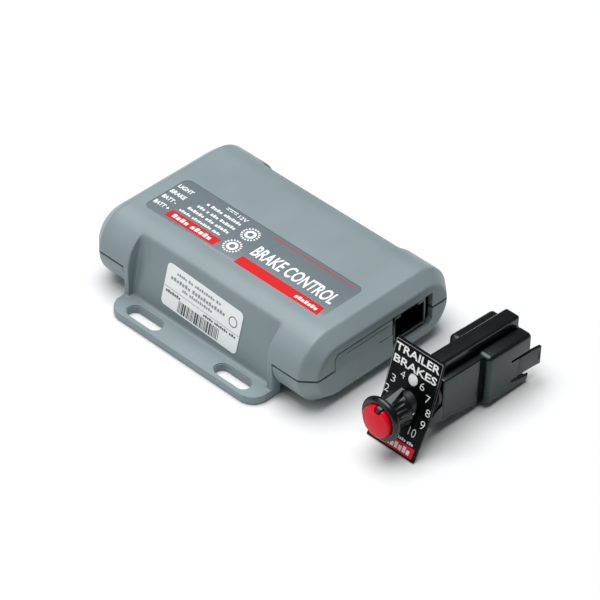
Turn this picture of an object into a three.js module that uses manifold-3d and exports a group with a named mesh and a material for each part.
// Trailer brake controller: a flanged main unit and the remote dial head that lies beside it.
// Units are millimetres and +Z is up. The origin is the centre of the main unit's flat underside.
// +X runs along the main unit towards its data socket, and -Y is the side that carries the rating label.
import * as THREE from 'three';
import { mergeVertices } from 'three/addons/utils/BufferGeometryUtils.js';
import Module from 'manifold-3d';

const wasm = await Module();
wasm.setup();

// ---------------------------------------------------------------- driving dimensions
const GAP = 0.3; // clearance between neighbouring mouldings
const FINE = 0.15; // clearance between a fastener or label and its seat
const FAR = 80; // reach of a cutting block beyond the part

const LENGTH = 105.8;
const WIDTH = 70;
const HEIGHT = 28.3;
const WALL = 2.2;
const END_CHAMFER = { along: 5, inward: 4.4 };
const SPLIT_Z = 14.4;
const SPLIT_GAP = 0.5;

const RIB = { outer: 35.8, inner: 33.4 };
const SCOOP = { footY: 33.3, footZ: 3, slope: 0.231, topZ: HEIGHT + 3 };
const FLANGE = { edgeY: 43.7, thickness: 3, corner: 6.5 };
const SLOT = { x: 21.3, y: 38.9, length: 15.7, width: 5.4 };

const END_PANEL = { nearY: -22.9, farY: 23.4, topZ: 21, cornerCut: 1.6 };
const DATA_PORT = { nearY: 4.4, sillZ: 8, cornerCut: 1.8 };
const DATA_JACK = { y: 13.3, width: 15.6, depth: 14.5, height: 11.4, bottomZ: 9.2, setBack: 0.9 };
const POWER_PORT = { y: -7, width: 24, height: 10.4, bottomZ: 9.2, depth: 15, setBack: 0.8, pitch: 5.2 };

const BOARD = { halfX: 46, halfY: 27, bottomZ: 7.3, thickness: 1.6 };
const BOARD_TOP = BOARD.bottomZ + BOARD.thickness;
const BOSS = { x: 41.8, y: 24.6, radius: 3.2, screwRadius: 1.4, headRadius: 2.7, headDepth: 3 };
const CASE_SCREW = {
  endZ: 20.3, pilotEndZ: 23.3, headHeight: 2.2, crossReach: 1.6, crossHalf: 0.3, crossDepth: 1,
};

const TOP_LABEL = { x0: -42.6, x1: 42, y0: -18.8, y1: 2, corner: 2.6, recess: 0.35, thickness: 0.2 };
const RATING_LABEL = { x0: -19.8, x1: 16.8, z0: 6.2, z1: 22.2, corner: 1.8, thickness: 0.2, tilt: -2.5 };

const SPREADER = {
  y0: 20, y1: 22.6, x0: -33, x1: 8, height: 14, footDepth: 1.6, footHeight: 1.5, holeRadius: 1.35,
};
const TRANSISTOR = {
  places: [-26, -13, 0], halfWidth: 5, bottom: 2.4, bodyTop: 8.8, tabTop: 14, thickness: 4.4, tab: 1.3,
  holeRadius: 1.7, clearance: 0.5, legPitch: 2.54, legHalf: 0.4,
  screwHeight: 11.6, screwRadius: 1.2, screwHeadRadius: 2.5, screwHead: 1.8,
};
const CAPACITOR = { places: [-27, -15], y: -14.5, radius: 5, height: 13 };
const INDUCTOR = { x: -1, y: -13.5, radius: 5, wireRadius: 2.4, lift: 2.5 };
const PROCESSOR = { x: 16, y: -8, size: 10, height: 1.8, leads: 5 };
const SENSOR = { x: 24, y: 12, size: 5, height: 1.5, leads: 2 };
const CHIP_LEAD = { half: 0.25, reach: 1, height: 0.5, standOff: 0.2 };
const SHUNT = { x: -14, y: 3, halfLength: 8, halfWidth: 2, leg: 1.4, clear: 3, top: 4.4 };

const HEAD = { x: 80.6, y: -17.3, z: 14.9, pitch: -3 };
const PLATE = { halfX: 10.45, thickness: 1, topY: 4.5, topZ: 18.8, bendY: -0.96, bendZ: -1.42 };
const PLATE_FOOT = { y: -6.6, z: -15.2 };
const WINDOW = { z: 8.2, radius: 2.15 };
const FRONT = { halfX: 6.6, y0: 9.7, y1: 28.2, bottomZ: -9.3 };
const REAR = { halfX: 8.9, y0: 28.2, y1: 49.5, bottomZ: -12.2 };
const HOUSING_TOP = 7;
const RIDGE = { halfX: 2.9, topZ: 11.5 };
const GROOVE = { outerX: 3.9, bottomZ: 5.7, floor: 0.7 };
const HOUSING_WALL = 1.2;
const FINGER = {
  z0: -7.1, z1: 0.3, rootY: 39.5, tipY: 53.9, slot: 1, slotReach: 2, flare: 1, flareLength: 2,
};
const HEAD_BOARD = { bottomZ: -7.8, thickness: 1.4 };
const HEAD_JACK = { width: 14.8, height: 10.8, depth: 14, y1: 49 };
const FRONT_WALL = 1.8;
const WEB = { tipY: 1.2, tipZ: -7.2, tipHeight: 1.5, rootZ: -3, rootY: 10.2 };
const POT = {
  y0: 12.4, y1: 18.4, halfX: 4.9, halfZ: 4.7, coreRadius: 3.9, wall: 1, pinPitch: 2.5, pinHalf: 0.35,
};
const SWITCH = { y0: 18.7, y1: 25.4, halfX: 4.4, halfZ: 4.6, roomRadius: 2.7 };
const PLUNGER = { radius: 1.3, collar: 2.3 };
const RETURN_SPRING = { turns: 3.5, wire: 0.22, radius: 1.5, pointsPerTurn: 12 };
const SPINDLE = { radius: 3, y0: -11.4, shoulderY: 16.6, y1: 18.6, flatY: -6, flatZ: 1.9, tipChamfer: 0.4 };
const SPINDLE_CLEARANCE = 0.12;
const NUT = { radius: 5.4, y0: -4.2, y1: -2.9 };
const WASHER = { radius: 6.4, y0: 8.1, y1: 9.4 };
const LED = { radius: 1.5, y0: 22.5, y1: 27, legX: 0.6, legHalf: 0.25 };
const PIPE = { radius: 1.5, headRadius: 1.95, headEndY: 3.6, setBack: 0.2 };

const BUSH = { radius: 4.1, bore: 3.2, y0: -5, y1: 12, collar: 1 };
const KNOB = {
  rimRadius: 8.1, bodyRadius: 6.4, rimFrontY: -14.2, rearY: -4.3, pointerAngle: 8,
  flutes: 14, fluteRadius: 1.6, fluteCentre: 7.85, fluteStartY: -8.9,
  finRadius: 9.2, finHalf: 1.1, finCore: 3, finFrontY: -12.4, finRearY: -4.45,
};
const CAP = { radius: 5.8, frontY: -16, edgeY: -15.1, seatY: -13.2 };
const POINTER = { halfX: 0.9, innerZ: 3.9, notch: 0.15 };
const JACK = { side: 1.2, floor: 1.2, roof: 2.6, back: 2, notchHalf: 3.3, notchRoof: 1 };
const WIRE = {
  count: 8, pitch: 1.02, half: 0.22, thickness: 0.4, share: 0.55, slope: -0.28, strip: 1, stripHalf: 4.4,
};
const BLADE = { start: 4, tail: 1.5, halfY: 0.4, halfZ: 1.6 };
const POWER_WALL = { side: 1.3, back: 2.5, keyHalf: 2, keyDepth: 2, keyFromBack: 6 };

// ---------------------------------------------------------------- solids
const AXES = {
  x: new THREE.Matrix4().makeBasis(
    new THREE.Vector3(0, 1, 0),
    new THREE.Vector3(0, 0, 1),
    new THREE.Vector3(1, 0, 0),
  ),
  y: new THREE.Matrix4().makeBasis(
    new THREE.Vector3(0, 0, 1),
    new THREE.Vector3(1, 0, 0),
    new THREE.Vector3(0, 1, 0),
  ),
  z: new THREE.Matrix4(),
};

function solidOf(geometry) {
  const bare = geometry.index ? geometry.toNonIndexed() : geometry.clone();
  bare.deleteAttribute('normal');
  bare.deleteAttribute('uv');
  const merged = mergeVertices(bare, 1e-5);
  const mesh = new wasm.Mesh({
    numProp: 3,
    vertProperties: new Float32Array(merged.attributes.position.array),
    triVerts: new Uint32Array(merged.index.array),
  });
  return new wasm.Manifold(mesh);
}

function geometryOf(solid) {
  const mesh = solid.getMesh();
  const geometry = new THREE.BufferGeometry();
  geometry.setAttribute('position', new THREE.BufferAttribute(mesh.vertProperties, 3));
  geometry.setIndex(new THREE.BufferAttribute(mesh.triVerts, 1));
  const flat = geometry.toNonIndexed();
  flat.computeVertexNormals();
  return flat;
}

const union = (solids) => solids.reduce((sum, solid) => sum.add(solid));
const mirrorX = (make) => [-1, 1].map((side) => make(side));

function block(x0, x1, y0, y1, z0, z1) {
  const geometry = new THREE.BoxGeometry(x1 - x0, y1 - y0, z1 - z0);
  return solidOf(geometry.translate((x0 + x1) / 2, (y0 + y1) / 2, (z0 + z1) / 2));
}

// A shape drawn across the axis: (y, z) for x, (z, x) for y and (x, y) for z.
function prism(shape, axis, start, end, curveSegments = 10) {
  const options = { depth: end - start, bevelEnabled: false, curveSegments };
  const geometry = new THREE.ExtrudeGeometry(shape, options).translate(0, 0, start);
  return solidOf(geometry.applyMatrix4(AXES[axis]));
}

function polygon(points) {
  return new THREE.Shape(points.map(([u, v]) => new THREE.Vector2(u, v)));
}

function roundedRect(u0, u1, v0, v1, r) {
  const shape = new THREE.Shape();
  shape.moveTo(u0 + r, v0);
  shape.lineTo(u1 - r, v0);
  shape.absarc(u1 - r, v0 + r, r, -Math.PI / 2, 0);
  shape.absarc(u1 - r, v1 - r, r, 0, Math.PI / 2);
  shape.absarc(u0 + r, v1 - r, r, Math.PI / 2, Math.PI);
  shape.absarc(u0 + r, v0 + r, r, Math.PI, Math.PI * 1.5);
  return shape;
}

// A rod along an axis; centre is given across the axis in the order that prism uses.
function rod(axis, radius, start, end, centre = [0, 0], sides = 24) {
  const shape = new THREE.Shape();
  const turn = (i) => ((i + 0.5) * 2 * Math.PI) / sides;
  for (let i = 0; i < sides; i += 1) {
    const point = [centre[0] + radius * Math.cos(turn(i)), centre[1] + radius * Math.sin(turn(i))];
    if (i === 0) shape.moveTo(...point);
    else shape.lineTo(...point);
  }
  return prism(shape, axis, start, end);
}

// A turned piece about the Y axis from [radius, y] points that begin and end on the axis.
function turnedY(points, sides = 36) {
  const profile = points.map(([radius, y]) => new THREE.Vector2(radius, y));
  return solidOf(new THREE.LatheGeometry(profile, sides));
}

// ---------------------------------------------------------------- scene graph
const controller = new THREE.Group();
const mainUnit = new THREE.Group();
const head = new THREE.Group();
const dial = new THREE.Group();
controller.add(mainUnit, head);
head.add(dial);
head.position.set(HEAD.x, HEAD.y, HEAD.z);
head.rotation.x = THREE.MathUtils.degToRad(HEAD.pitch);
dial.rotation.y = THREE.MathUtils.degToRad(KNOB.pointerAngle);

const FINISH = {
  shell: { color: 0x8a9a9d, roughness: 0.5, metalness: 0 },
  shellLow: { color: 0x7f8f92, roughness: 0.5, metalness: 0 },
  label: { color: 0x6f7a80, roughness: 0.4, metalness: 0 },
  paper: { color: 0xe9ecec, roughness: 0.45, metalness: 0 },
  black: { color: 0x15181a, roughness: 0.4, metalness: 0 },
  blackPlate: { color: 0x0e0f10, roughness: 0.35, metalness: 0 },
  red: { color: 0xd3122b, roughness: 0.3, metalness: 0 },
  lens: { color: 0xe8eeee, roughness: 0.3, metalness: 0 },
  board: { color: 0x1d5a35, roughness: 0.5, metalness: 0 },
  brass: { color: 0xb99a52, roughness: 0.35, metalness: 1 },
  steel: { color: 0x9da1a4, roughness: 0.35, metalness: 1 },
  aluminium: { color: 0xb6babd, roughness: 0.4, metalness: 1 },
  copper: { color: 0xb4703a, roughness: 0.4, metalness: 1 },
  sleeve: { color: 0x20304f, roughness: 0.4, metalness: 0 },
};

function place(group, name, solid, finish) {
  const material = new THREE.MeshStandardMaterial(FINISH[finish]);
  const mesh = new THREE.Mesh(geometryOf(solid), material);
  mesh.name = name;
  group.add(mesh);
}

// ---------------------------------------------------------------- main unit shells
// The body is a stadium across Y and Z, drawn along X, with both ends chamfered all round.
function chamferedBody(inset) {
  const radius = HEIGHT / 2 - inset;
  const half = WIDTH / 2 - HEIGHT / 2;
  const shape = new THREE.Shape();
  shape.moveTo(-half, HEIGHT / 2 - radius);
  shape.lineTo(half, HEIGHT / 2 - radius);
  shape.absarc(half, HEIGHT / 2, radius, -Math.PI / 2, Math.PI / 2);
  shape.lineTo(-half, HEIGHT / 2 + radius);
  shape.absarc(-half, HEIGHT / 2, radius, Math.PI / 2, Math.PI * 1.5);
  const length = LENGTH - 2 * inset;
  const geometry = new THREE.ExtrudeGeometry(shape, {
    depth: length - 2 * END_CHAMFER.along,
    bevelThickness: END_CHAMFER.along,
    bevelSize: END_CHAMFER.inward,
    bevelOffset: -END_CHAMFER.inward,
    bevelSegments: 1,
    curveSegments: 14,
  });
  geometry.translate(0, 0, END_CHAMFER.along - length / 2);
  return solidOf(geometry.applyMatrix4(AXES.x));
}

// Everything outboard of the two sloping scoop walls, moved inboard by an offset.
function outsideScoops(halfX, offset, lowZ) {
  const wallY = (z) => SCOOP.footY - SCOOP.slope * (z - SCOOP.footZ) - offset;
  return union(
    mirrorX((side) => {
      const points = [
        [side * FAR, lowZ],
        [side * wallY(lowZ), lowZ],
        [side * wallY(SCOOP.topZ), SCOOP.topZ],
        [side * FAR, SCOOP.topZ],
      ];
      return prism(polygon(side < 0 ? points : points.reverse()), 'x', -halfX, halfX);
    }),
  );
}

const BOSS_PLACES = mirrorX((end) => mirrorX((side) => [end * BOSS.x, side * BOSS.y])).flat();

function atBosses(make) {
  return union(BOSS_PLACES.map(([x, y]) => make(x, y)));
}

function endPanelShape(inset, lowZ, farY) {
  return polygon([
    [END_PANEL.nearY + inset, lowZ],
    [farY, lowZ],
    [farY, END_PANEL.topZ - inset],
    [END_PANEL.nearY + inset + END_PANEL.cornerCut, END_PANEL.topZ - inset],
    [END_PANEL.nearY + inset, END_PANEL.topZ - inset - END_PANEL.cornerCut],
  ]);
}

function powerPortCut() {
  const half = POWER_PORT.width / 2 + GAP;
  const { y, bottomZ, height } = POWER_PORT;
  return block(-FAR, -LENGTH / 2 + 4, y - half, y + half, bottomZ - GAP, bottomZ + height + GAP);
}

function upperShell() {
  const above = block(-FAR, FAR, -FAR, FAR, SPLIT_Z + SPLIT_GAP / 2, FAR);
  const skirt = block(-RIB.outer, RIB.outer, -WIDTH / 2, WIDTH / 2, 0, SPLIT_Z + 1);
  const flangeShape = roundedRect(-RIB.outer, RIB.outer, -FLANGE.edgeY, FLANGE.edgeY, FLANGE.corner);
  const flange = prism(flangeShape, 'z', 0, FLANGE.thickness);
  const scooped = chamferedBody(0).intersect(above).add(skirt)
    .subtract(outsideScoops(RIB.inner, 0, SCOOP.footZ));
  const skirtRoom = block(-RIB.outer - 1, RIB.outer + 1, -FAR, FAR, -1, SPLIT_Z + 2)
    .subtract(outsideScoops(FAR, WALL, -2));
  const room = chamferedBody(WALL).subtract(outsideScoops(RIB.outer, WALL, -2));
  const bosses = atBosses((x, y) => rod('z', BOSS.radius, BOARD_TOP + FINE, HEIGHT, [x, y], 16))
    .intersect(chamferedBody(WALL / 3));
  const pilots = atBosses((x, y) => rod('z', BOSS.screwRadius + FINE, 0, CASE_SCREW.pilotEndZ, [x, y], 12));
  const slots = mirrorX((side) => mirrorX((end) => {
    const shape = roundedRect(
      end * SLOT.x - SLOT.length / 2,
      end * SLOT.x + SLOT.length / 2,
      side * SLOT.y - SLOT.width / 2,
      side * SLOT.y + SLOT.width / 2,
      SLOT.width / 2 - 0.01,
    );
    return prism(shape, 'z', -1, FLANGE.thickness + 1, 8);
  })).flat();
  const opening = prism(endPanelShape(0, 0, END_PANEL.farY), 'x', LENGTH / 2 - 6, FAR);
  const recessShape = roundedRect(
    TOP_LABEL.x0 - FINE, TOP_LABEL.x1 + FINE, TOP_LABEL.y0 - FINE, TOP_LABEL.y1 + FINE, TOP_LABEL.corner,
  );
  const recess = prism(recessShape, 'z', HEIGHT - TOP_LABEL.recess, HEIGHT + 1);
  return scooped.add(flange).subtract(skirtRoom).subtract(room).add(bosses)
    .subtract(union([pilots, ...slots, opening, recess, powerPortCut()]));
}

function lowerShell() {
  const below = block(-FAR, FAR, -FAR, FAR, -1, SPLIT_Z - SPLIT_GAP / 2);
  const outside = chamferedBody(0).intersect(below)
    .subtract(outsideScoops(RIB.outer + GAP, WALL + GAP, -2));
  const room = chamferedBody(WALL).subtract(outsideScoops(RIB.outer + GAP + WALL, WALL * 2 + GAP, -2));
  const floor = block(-FAR, FAR, -FAR, FAR, WALL, FAR);
  const panelFar = DATA_PORT.nearY - GAP / 2;
  const panel = prism(
    endPanelShape(GAP, SPLIT_Z - 3, panelFar), 'x', LENGTH / 2 - WALL, LENGTH / 2 - FINE,
  );
  const portShape = polygon([
    [DATA_PORT.nearY, DATA_PORT.sillZ],
    [END_PANEL.farY - DATA_PORT.cornerCut, DATA_PORT.sillZ],
    [END_PANEL.farY, DATA_PORT.sillZ + DATA_PORT.cornerCut],
    [END_PANEL.farY, FAR],
    [DATA_PORT.nearY, FAR],
  ]);
  const port = prism(portShape, 'x', LENGTH / 2 - 6, FAR);
  const bosses = atBosses((x, y) => rod('z', BOSS.radius, WALL - 1, BOARD.bottomZ - FINE, [x, y], 16));
  const holes = atBosses((x, y) => rod('z', BOSS.screwRadius + FINE, -1, FAR, [x, y], 12));
  const sinks = atBosses((x, y) => rod('z', BOSS.headRadius + GAP, -1, BOSS.headDepth + GAP, [x, y]));
  return outside.subtract(room.intersect(floor)).add(panel).add(bosses)
    .subtract(union([port, holes, sinks, powerPortCut()]));
}

function topLabel() {
  const { x0, x1, y0, y1, corner, recess, thickness } = TOP_LABEL;
  const bottom = HEIGHT - recess + FINE / 2;
  return prism(roundedRect(x0, x1, y0, y1, corner), 'z', bottom, bottom + thickness);
}

function ratingLabel() {
  const { x0, x1, z0, z1, corner, thickness, tilt } = RATING_LABEL;
  const lean = Math.atan(SCOOP.slope);
  const halfWidth = (x1 - x0) / 2;
  const halfHeight = (z1 - z0) / Math.cos(lean) / 2;
  const outline = roundedRect(-halfWidth, halfWidth, -halfHeight, halfHeight, corner);
  const geometry = new THREE.ExtrudeGeometry(outline, { depth: thickness, bevelEnabled: false });
  geometry.rotateZ(THREE.MathUtils.degToRad(tilt));
  geometry.translate(x0 + halfWidth, halfHeight, 0);
  geometry.rotateX(Math.PI / 2 - lean);
  const wallY = SCOOP.footY - SCOOP.slope * (z0 - SCOOP.footZ);
  return solidOf(geometry.translate(0, -wallY - FINE, z0));
}

// ---------------------------------------------------------------- sockets
// A modular jack about the origin, mouth towards +X: a frame with a latch notch over its cavity.
function jackFrame(width, height, depth) {
  const halfY = width / 2 - JACK.side;
  const top = height - JACK.roof;
  const back = -depth + JACK.back;
  const frame = block(-depth, 0, -width / 2, width / 2, 0, height);
  const cavity = block(back, 1, -halfY, halfY, JACK.floor, top);
  const notch = block(back, 1, -JACK.notchHalf, JACK.notchHalf, top - 1, height - JACK.notchRoof);
  return frame.subtract(cavity).subtract(notch);
}

// Eight spring wires that slope up from the floor of the jack's cavity towards its back, where a
// moulded strip holds them.
function jackContacts(depth) {
  const back = -depth + JACK.back + GAP;
  const low = JACK.floor + FINE;
  const strip = block(back, back + WIRE.strip, -WIRE.stripHalf, WIRE.stripHalf, low, low + 1.2);
  const wires = [strip];
  for (let i = 0; i < WIRE.count; i += 1) {
    const y = (i - (WIRE.count - 1) / 2) * WIRE.pitch;
    const wire = block(0, depth * WIRE.share, y - WIRE.half, y + WIRE.half, 0, WIRE.thickness);
    const tilted = wire.rotate([0, THREE.MathUtils.radToDeg(WIRE.slope), 0]);
    wires.push(tilted.translate([back + WIRE.strip / 2, 0, low + WIRE.thickness]));
  }
  return union(wires);
}

const jackX = LENGTH / 2 - DATA_JACK.setBack;
const dataSocket = jackFrame(DATA_JACK.width, DATA_JACK.height, DATA_JACK.depth)
  .translate([jackX, DATA_JACK.y, DATA_JACK.bottomZ]);
const dataContacts = jackContacts(DATA_JACK.depth).translate([jackX, DATA_JACK.y, DATA_JACK.bottomZ]);

const powerX = -LENGTH / 2 + POWER_PORT.setBack;
const powerBack = powerX + POWER_PORT.depth;

const BLADE_Y = [-1.5, -0.5, 0.5, 1.5].map((step) => POWER_PORT.y + step * POWER_PORT.pitch);

function powerBlade(y, clearance) {
  const mid = POWER_PORT.bottomZ + POWER_PORT.height / 2;
  const halfY = BLADE.halfY + clearance;
  const halfZ = BLADE.halfZ + clearance;
  const front = powerX + BLADE.start;
  return block(front, powerBack + BLADE.tail, y - halfY, y + halfY, mid - halfZ, mid + halfZ);
}

function powerSocket() {
  const { y, width, height, bottomZ } = POWER_PORT;
  const { side, back, keyHalf, keyDepth, keyFromBack } = POWER_WALL;
  const half = width / 2;
  const topZ = bottomZ + height;
  const shroud = block(powerX, powerBack, y - half, y + half, bottomZ, topZ);
  const room = block(
    powerX - 1, powerBack - back, y - half + side, y + half - side, bottomZ + side, topZ - side,
  );
  const key = block(powerX - 1, powerBack - keyFromBack, y - keyHalf, y + keyHalf, topZ - keyDepth, FAR);
  const bladeSeats = union(BLADE_Y.map((bladeY) => powerBlade(bladeY, FINE)));
  return shroud.subtract(room).subtract(key).subtract(bladeSeats);
}

// ---------------------------------------------------------------- board and components
function mainBoard() {
  const holes = atBosses((x, y) => rod('z', BOSS.screwRadius + GAP, 0, 20, [x, y], 12));
  const { halfX, halfY, bottomZ } = BOARD;
  return prism(roundedRect(-halfX, halfX, -halfY, halfY, 3), 'z', bottomZ, BOARD_TOP, 3).subtract(holes);
}

const onBoard = BOARD_TOP + FINE;
const screwZ = onBoard + TRANSISTOR.screwHeight;
const transistorBack = SPREADER.y0 - TRANSISTOR.clearance;

function heatSpreader() {
  const { x0, x1, y0, y1, height, footDepth, footHeight, holeRadius } = SPREADER;
  const web = block(x0, x1, y0, y1, onBoard, onBoard + height);
  const foot = block(x0, x1, y0, y1 + footDepth, onBoard, onBoard + footHeight);
  const holes = TRANSISTOR.places.map((x) => rod('y', holeRadius, y0 - 1, y1 + 1, [screwZ, x], 14));
  return web.add(foot).subtract(union(holes));
}

function powerTransistor(x) {
  const { halfWidth, bottom, bodyTop, tabTop, thickness, tab, holeRadius, legPitch, legHalf } = TRANSISTOR;
  const back = transistorBack;
  const front = back - thickness;
  const low = onBoard + bottom;
  const body = block(x - halfWidth, x + halfWidth, front, back - tab / 2, low, onBoard + bodyTop);
  const plate = block(x - halfWidth, x + halfWidth, back - tab, back, low, onBoard + tabTop)
    .subtract(rod('y', holeRadius, back - 3, back + 1, [screwZ, x], 14));
  const legFront = back - 2 * tab;
  const legs = [-legPitch, 0, legPitch].map((dx) => (
    block(x + dx - legHalf, x + dx + legHalf, legFront, legFront + 0.6, onBoard, low + FINE)
  ));
  return union([body, plate, ...legs]);
}

function transistorScrew(x) {
  const { tab, screwRadius, screwHeadRadius, screwHead } = TRANSISTOR;
  const seat = transistorBack - tab - FINE;
  return rod('y', screwRadius, seat - FINE, SPREADER.y1 + 0.8, [screwZ, x], 14)
    .add(rod('y', screwHeadRadius, seat - screwHead, seat, [screwZ, x], 18));
}

function thermalPad() {
  const { x0, x1, y0 } = SPREADER;
  const holes = TRANSISTOR.places.map((x) => (
    rod('y', TRANSISTOR.holeRadius, y0 - 2, y0 + 1, [screwZ, x], 14)
  ));
  const pad = block(x0 + 1, x1 - 1, y0 - 0.4, y0 - 0.1, onBoard + 2, onBoard + TRANSISTOR.tabTop);
  return pad.subtract(union(holes));
}

function caseScrew(x, y) {
  const headTop = BOSS.headDepth;
  const headBottom = headTop - CASE_SCREW.headHeight;
  const { crossReach: reach, crossHalf: half, crossDepth } = CASE_SCREW;
  const crossTop = headBottom + crossDepth;
  const cross = block(x - reach, x + reach, y - half, y + half, 0, crossTop)
    .add(block(x - half, x + half, y - reach, y + reach, 0, crossTop));
  return rod('z', BOSS.headRadius, headBottom, headTop, [x, y])
    .add(rod('z', BOSS.screwRadius, headTop - FINE, CASE_SCREW.endZ, [x, y], 12))
    .subtract(cross);
}

function inductor() {
  const { x, y, radius, wireRadius, lift } = INDUCTOR;
  return solidOf(new THREE.TorusGeometry(radius, wireRadius, 10, 20).translate(x, y, onBoard + lift));
}

function leadedChip({ x, y, size, height, leads }) {
  const half = size / 2;
  const { half: lead, reach, height: leadTop, standOff } = CHIP_LEAD;
  const parts = [block(x - half, x + half, y - half, y + half, onBoard + standOff, onBoard + height)];
  for (let i = 0; i < leads; i += 1) {
    const along = ((i - (leads - 1) / 2) * size) / (leads + 0.5);
    const top = onBoard + leadTop;
    parts.push(block(x + along - lead, x + along + lead, y - half - reach, y + half + reach, onBoard, top));
    parts.push(block(x - half - reach, x + half + reach, y + along - lead, y + along + lead, onBoard, top));
  }
  return union(parts);
}

function shuntResistor() {
  const { x, y, halfLength, halfWidth, leg, clear, top } = SHUNT;
  const arch = block(x - halfWidth, x + halfWidth, y - halfLength, y + halfLength, onBoard, onBoard + top);
  const inner = halfLength - leg;
  return arch.subtract(block(x - FAR, x + FAR, y - inner, y + inner, 0, onBoard + clear));
}

place(mainUnit, 'upper_shell', upperShell(), 'shell');
place(mainUnit, 'lower_shell', lowerShell(), 'shellLow');
place(mainUnit, 'top_label', topLabel(), 'label');
place(mainUnit, 'rating_label', ratingLabel(), 'paper');
place(mainUnit, 'data_socket', dataSocket, 'black');
place(mainUnit, 'data_socket_contacts', dataContacts, 'brass');
place(mainUnit, 'power_socket', powerSocket(), 'black');
BLADE_Y.forEach((y, i) => place(mainUnit, `power_blade_${i + 1}`, powerBlade(y, 0), 'brass'));
BOSS_PLACES.forEach(([x, y], i) => place(mainUnit, `case_screw_${i + 1}`, caseScrew(x, y), 'steel'));
place(mainUnit, 'main_circuit_board', mainBoard(), 'board');
place(mainUnit, 'heat_spreader', heatSpreader(), 'aluminium');
place(mainUnit, 'thermal_pad', thermalPad(), 'paper');
TRANSISTOR.places.forEach((x, i) => {
  place(mainUnit, `power_transistor_${i + 1}`, powerTransistor(x), 'black');
  place(mainUnit, `transistor_screw_${i + 1}`, transistorScrew(x), 'steel');
});
CAPACITOR.places.forEach((x, i) => {
  const can = rod('z', CAPACITOR.radius, onBoard, onBoard + CAPACITOR.height, [x, CAPACITOR.y], 20);
  place(mainUnit, `capacitor_${i + 1}`, can, 'sleeve');
});
place(mainUnit, 'filter_inductor', inductor(), 'copper');
place(mainUnit, 'processor_chip', leadedChip(PROCESSOR), 'black');
place(mainUnit, 'motion_sensor', leadedChip(SENSOR), 'black');
place(mainUnit, 'shunt_resistor', shuntResistor(), 'copper');

// ---------------------------------------------------------------- remote head
// Head pieces are drawn about the spindle: Y runs along it towards the rear and Z is up.
function facePlate() {
  const { halfX, thickness, topY, topZ, bendY, bendZ } = PLATE;
  const profile = polygon([
    [topY, topZ],
    [bendY, bendZ],
    [PLATE_FOOT.y, PLATE_FOOT.z],
    [PLATE_FOOT.y + thickness, PLATE_FOOT.z],
    [bendY + thickness, bendZ],
    [topY + thickness, topZ],
  ]);
  const shaftHole = rod('y', BUSH.radius + GAP, -12, 12, [0, 0], 32);
  const window = rod('y', WINDOW.radius, -12, 12, [WINDOW.z, 0], 28);
  return prism(profile, 'x', -halfX, halfX).subtract(shaftHole).subtract(window);
}

// The housing's outline across X and Z, shrunk by an inset: a block with a ridge along its top.
function housingShape(halfX, bottomZ, inset) {
  const wide = halfX - inset;
  const top = HOUSING_TOP - inset;
  const ridge = RIDGE.halfX - inset;
  return polygon([
    [bottomZ + inset, -wide],
    [bottomZ + inset, wide],
    [top, wide],
    [top, ridge],
    [RIDGE.topZ - inset, ridge],
    [RIDGE.topZ - inset, -ridge],
    [top, -ridge],
    [top, -wide],
  ]);
}

// The latch finger's free end runs on past the housing's rear and kicks outwards.
function fingerTip(side) {
  const inner = REAR.halfX - HOUSING_WALL;
  const outer = REAR.halfX;
  const flareEnd = REAR.y1 + FINGER.flareLength;
  const points = [
    [side * inner, REAR.y1 - 1],
    [side * outer, REAR.y1 - 1],
    [side * (outer + FINGER.flare), flareEnd],
    [side * (outer + FINGER.flare), FINGER.tipY],
    [side * (inner + FINGER.flare), FINGER.tipY],
    [side * (inner + FINGER.flare), flareEnd],
  ];
  return prism(polygon(side > 0 ? points : points.reverse()), 'z', FINGER.z0, FINGER.z1);
}

// Two three-cornered webs reach forward from the housing's front corners towards the face plate.
function frontWeb(side) {
  const shape = polygon([
    [WEB.tipY, WEB.tipZ - WEB.tipHeight],
    [WEB.tipY, WEB.tipZ],
    [WEB.rootY, WEB.rootZ],
    [WEB.rootY, FRONT.bottomZ],
  ]);
  const inner = FRONT.halfX - HOUSING_WALL;
  return prism(shape, 'x', side > 0 ? inner : -FRONT.halfX, side > 0 ? FRONT.halfX : -inner);
}

// The front block's underside slopes down to meet the deeper rear block.
function housingOutside() {
  const belowSlope = polygon([
    [FRONT.y0 - 1, REAR.bottomZ - 5],
    [FRONT.y1, REAR.bottomZ - 5],
    [FRONT.y1, REAR.bottomZ],
    [FRONT.y0, FRONT.bottomZ],
    [FRONT.y0 - 1, FRONT.bottomZ],
  ]);
  const front = prism(housingShape(FRONT.halfX, REAR.bottomZ, 0), 'y', FRONT.y0, FRONT.y1)
    .subtract(prism(belowSlope, 'x', -FAR, FAR));
  const rear = prism(housingShape(REAR.halfX, REAR.bottomZ, 0), 'y', REAR.y0, REAR.y1);
  return union([front, rear, ...mirrorX(frontWeb)]);
}

function housingRooms() {
  const front = prism(
    housingShape(FRONT.halfX, FRONT.bottomZ, HOUSING_WALL), 'y', FRONT.y0 + FRONT_WALL, REAR.y0 + 2,
  );
  const rear = prism(
    housingShape(REAR.halfX, REAR.bottomZ, HOUSING_WALL), 'y', REAR.y0 + HOUSING_WALL, REAR.y1 + 1,
  );
  return front.add(rear);
}

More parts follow.
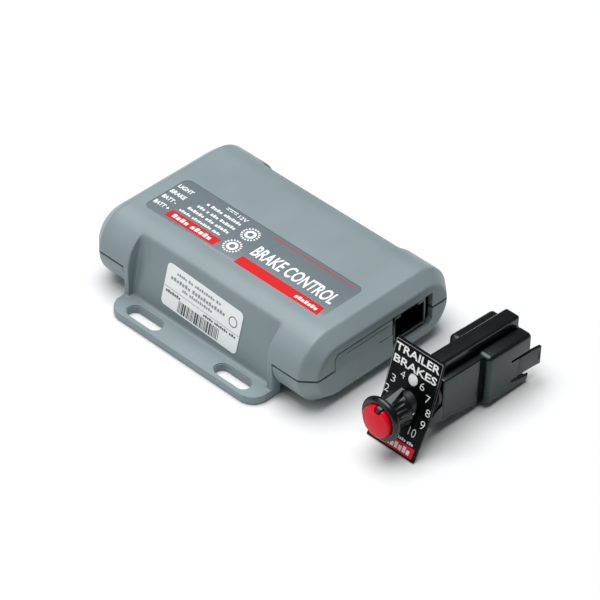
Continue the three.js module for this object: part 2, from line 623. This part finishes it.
function insertHousing() {
  const frontWallEnd = FRONT.y0 + FRONT_WALL;
  const grooveFloors = mirrorX((side) => {
    const middle = side * (RIDGE.halfX + GROOVE.outerX) / 2;
    const half = (GROOVE.outerX - RIDGE.halfX) / 2 + HOUSING_WALL;
    const bottom = GROOVE.bottomZ - GROOVE.floor;
    return block(middle - half, middle + half, frontWallEnd - 1, REAR.y1, bottom, HOUSING_TOP - FINE);
  });
  const grooves = mirrorX((side) => {
    const near = side > 0 ? RIDGE.halfX : -GROOVE.outerX;
    return block(near, near + GROOVE.outerX - RIDGE.halfX, 0, FAR, GROOVE.bottomZ, FAR);
  });
  const slots = mirrorX((side) => [FINGER.z0 - FINGER.slot, FINGER.z1].map((z) => {
    const mid = side * REAR.halfX;
    const reach = FINGER.slotReach;
    return block(mid - reach, mid + reach, FINGER.rootY, FAR, z, z + FINGER.slot);
  })).flat();
  const bushHole = rod('y', BUSH.radius + FINE, 0, frontWallEnd + FINE, [0, 0], 32);
  const lightHole = rod('y', PIPE.radius + FINE, 0, frontWallEnd + FINE, [WINDOW.z, 0], 20);
  return housingOutside().subtract(housingRooms()).add(union(grooveFloors))
    .subtract(union([...grooves, ...slots, bushHole, lightHole])).add(union(mirrorX(fingerTip)));
}

function headBoard() {
  const { bottomZ, thickness } = HEAD_BOARD;
  const narrow = FRONT.halfX - HOUSING_WALL - GAP;
  const wide = REAR.halfX - HOUSING_WALL - GAP;
  const y0 = FRONT.y0 + FRONT_WALL + GAP;
  return block(-narrow, narrow, y0, REAR.y1 - 2, bottomZ, bottomZ + thickness)
    .add(block(-wide, wide, REAR.y0 + 2, REAR.y1 - 2, bottomZ, bottomZ + thickness));
}

const headBoardTop = HEAD_BOARD.bottomZ + HEAD_BOARD.thickness;

// Turns a jack's frame, mouth towards +X, so that its mouth faces the head's rear.
function toHeadRear(solid) {
  return solid.rotate([0, 0, 90]).translate([0, HEAD_JACK.y1, headBoardTop + FINE]);
}

// A turned pocket along the spindle, cut out of a block.
function pocket(radius, y0, y1, sides = 28) {
  return rod('y', radius, y0, y1, [0, 0], sides);
}

function potentiometerBody() {
  const { y0, y1, halfX, halfZ, coreRadius, wall, pinPitch, pinHalf } = POT;
  const shell = block(-halfX, halfX, y0, y1, -halfZ, halfZ);
  const core = pocket(coreRadius, y0 + wall, y1 - wall);
  const pins = [-pinPitch, 0, pinPitch].map((x) => (
    block(x - pinHalf, x + pinHalf, y0 + 1, y0 + 1 + 2 * pinHalf, headBoardTop + FINE, FINE - halfZ)
  ));
  return union([shell, ...pins]).subtract(core)
    .subtract(pocket(SPINDLE.radius + FINE, y0 - 1, y0 + 2))
    .subtract(pocket(PLUNGER.radius + 2 * FINE, y1 - 2, y1 + 1));
}

function wiperRotor() {
  const { y0, y1, coreRadius, wall } = POT;
  return pocket(coreRadius - 0.25, y0 + wall + GAP, y1 - wall - GAP)
    .subtract(pocket(SPINDLE.radius + SPINDLE_CLEARANCE, y0, y1));
}

function spindle() {
  const { radius, y0, y1, shoulderY, flatY, flatZ, tipChamfer } = SPINDLE;
  const shaft = turnedY([
    [0, y0],
    [radius - tipChamfer, y0],
    [radius, y0 + tipChamfer],
    [radius, shoulderY],
    [PLUNGER.radius, shoulderY],
    [PLUNGER.radius, y1],
    [0, y1],
  ]);
  return shaft.subtract(block(-radius - 1, radius + 1, y0 - 1, flatY, flatZ, radius + 1));
}

function switchBody() {
  const { y0, y1, halfX, halfZ, roomRadius } = SWITCH;
  return block(-halfX, halfX, y0, y1, -halfZ, halfZ)
    .subtract(pocket(roomRadius, y0 + 1, y1 - 1))
    .subtract(pocket(PLUNGER.radius + GAP, y0 - 1, y0 + 2));
}

const collarStart = SWITCH.y0 + 1 + GAP;
const collarEnd = collarStart + 0.8;

function switchPlunger() {
  const start = SPINDLE.y1 + 0.1;
  return turnedY([
    [0, start],
    [PLUNGER.radius, start],
    [PLUNGER.radius, collarStart],
    [PLUNGER.collar, collarStart],
    [PLUNGER.collar, collarEnd],
    [0, collarEnd],
  ], 24);
}

// The return spring's coil, as one helix of round wire between the collar and the room's end.
function returnSpring() {
  const { turns, wire, radius, pointsPerTurn } = RETURN_SPRING;
  const start = collarEnd + wire + SPINDLE_CLEARANCE;
  const end = SWITCH.y1 - 1 - wire - SPINDLE_CLEARANCE;
  const count = turns * pointsPerTurn;
  const points = [];
  for (let i = 0; i <= count; i += 1) {
    const angle = (i / pointsPerTurn) * 2 * Math.PI;
    const along = start + ((end - start) * i) / count;
    points.push(new THREE.Vector3(radius * Math.cos(angle), along, radius * Math.sin(angle)));
  }
  const section = new THREE.Shape();
  section.absarc(0, 0, wire, 0, 2 * Math.PI);
  return solidOf(new THREE.ExtrudeGeometry(section, {
    steps: count - 6,
    curveSegments: 3,
    bevelEnabled: false,
    extrudePath: new THREE.CatmullRomCurve3(points),
  }));
}

function bush() {
  return pocket(BUSH.radius, BUSH.y0, BUSH.y1, 32)
    .add(pocket(BUSH.radius + BUSH.collar, FRONT.y0 + FRONT_WALL + FINE, BUSH.y1, 32))
    .subtract(pocket(BUSH.bore, BUSH.y0 - 1, BUSH.y1 + 1, 32));
}

// A washer or nut on the bush.
function ring(outer, y0, y1, sides) {
  return pocket(outer, y0, y1, sides).subtract(pocket(BUSH.radius + SPINDLE_CLEARANCE, y0 - 1, y1 + 1, 32));
}

// The knob flares from a fluted waist to a wide front rim, and a fin along it points at the scale.
function knobBody() {
  const { rimRadius, bodyRadius, rimFrontY, rearY, finHalf, finCore, finFrontY, finRearY } = KNOB;
  const profile = turnedY([
    [0, rimFrontY],
    [rimRadius - 0.6, rimFrontY],
    [rimRadius, rimFrontY + 0.7],
    [rimRadius, rimFrontY + 1.6],
    [rimRadius - 0.8, rimFrontY + 2.5],
    [bodyRadius - 0.5, rimFrontY + 4.8],
    [bodyRadius, rearY - 0.8],
    [bodyRadius, rearY],
    [0, rearY],
  ], 48);
  const fin = prism(polygon([
    [finRearY, finCore],
    [finFrontY, finCore],
    [finFrontY, rimRadius - GAP],
    [finRearY, KNOB.finRadius],
  ]), 'x', -finHalf, finHalf);
  const flutes = [];
  for (let i = 1; i < KNOB.flutes; i += 1) {
    const flute = rod('y', KNOB.fluteRadius, KNOB.fluteStartY, 0, [KNOB.fluteCentre, 0], 12);
    flutes.push(flute.rotate([0, (i * 360) / KNOB.flutes, 0]));
  }
  const seat = pocket(CAP.radius + FINE, rimFrontY - 1, CAP.seatY, 40);
  const bore = pocket(SPINDLE.radius + SPINDLE_CLEARANCE, SPINDLE.y0 - GAP, 0);
  const nutRoom = pocket(NUT.radius + GAP, rearY - 1, 0, 36);
  const bushRoom = pocket(BUSH.radius + GAP, BUSH.y0 - 1, 0, 36);
  return profile.subtract(union(flutes)).add(fin).subtract(seat).add(knobPointer())
    .subtract(union([bore, nutRoom, bushRoom]));
}

// The pointer tab crosses from the rim into a notch in the red cap.
function knobPointer() {
  const outerZ = KNOB.rimRadius - GAP;
  return prism(polygon([
    [CAP.edgeY - 0.2, POINTER.innerZ],
    [KNOB.rimFrontY + 1, POINTER.innerZ],
    [KNOB.rimFrontY + 1, outerZ],
    [KNOB.rimFrontY + 0.4, outerZ],
    [CAP.edgeY - 0.2, CAP.radius + 0.8],
  ]), 'x', -POINTER.halfX, POINTER.halfX);
}

function knobCap() {
  const { radius, frontY, edgeY, seatY } = CAP;
  const dome = turnedY([
    [0, frontY],
    [radius * 0.45, frontY + 0.12],
    [radius * 0.8, frontY + 0.42],
    [radius, edgeY + 0.3],
    [radius, seatY - FINE],
    [0, seatY - FINE],
  ], 40);
  const notchHalf = POINTER.halfX + POINTER.notch;
  return dome.subtract(block(-notchHalf, notchHalf, -FAR, 0, POINTER.innerZ - POINTER.notch, FAR));
}

function statusLed() {
  const body = rod('y', LED.radius, LED.y0, LED.y1, [WINDOW.z, 0], 20);
  const legs = [-LED.legX, LED.legX].map((x) => (
    block(x - LED.legHalf, x + LED.legHalf, LED.y1 - GAP, LED.y1 + GAP, headBoardTop + FINE, WINDOW.z)
  ));
  return union([body, ...legs]);
}

// The pipe carries the lamp's light to the plate, where its wider head fills the round window.
function lightPipe() {
  const { topY, topZ, bendY, bendZ } = PLATE;
  const { radius, headRadius, headEndY, setBack } = PIPE;
  const behindPlate = prism(polygon([
    [bendY + setBack, bendZ],
    [LED.y1, bendZ],
    [LED.y1, topZ],
    [topY + setBack, topZ],
  ]), 'x', -headRadius - 1, headRadius + 1);
  return rod('y', headRadius, 0, headEndY, [WINDOW.z, 0], 28)
    .add(rod('y', radius, headEndY - FINE, LED.y0 - FINE, [WINDOW.z, 0], 20))
    .intersect(behindPlate);
}

place(head, 'face_plate', facePlate(), 'blackPlate');
place(head, 'insert_housing', insertHousing(), 'black');
place(head, 'head_circuit_board', headBoard(), 'board');
const headJack = jackFrame(HEAD_JACK.width, HEAD_JACK.height, HEAD_JACK.depth);
place(head, 'head_socket', toHeadRear(headJack), 'black');
place(head, 'head_socket_contacts', toHeadRear(jackContacts(HEAD_JACK.depth)), 'brass');
place(head, 'potentiometer_body', potentiometerBody(), 'black');
place(head, 'threaded_bush', bush(), 'steel');
place(head, 'bush_nut', ring(NUT.radius, NUT.y0, NUT.y1, 6), 'steel');
place(head, 'spacer_washer', ring(WASHER.radius, WASHER.y0, WASHER.y1, 32), 'steel');
place(head, 'push_switch_body', switchBody(), 'black');
place(head, 'switch_plunger', switchPlunger(), 'paper');
place(head, 'return_spring', returnSpring(), 'steel');
place(head, 'status_led', statusLed(), 'lens');
place(head, 'light_pipe', lightPipe(), 'lens');
place(dial, 'wiper_rotor', wiperRotor(), 'paper');
place(dial, 'spindle', spindle(), 'aluminium');
place(dial, 'knob_body', knobBody(), 'black');
place(dial, 'knob_cap', knobCap(), 'red');

export default controller;
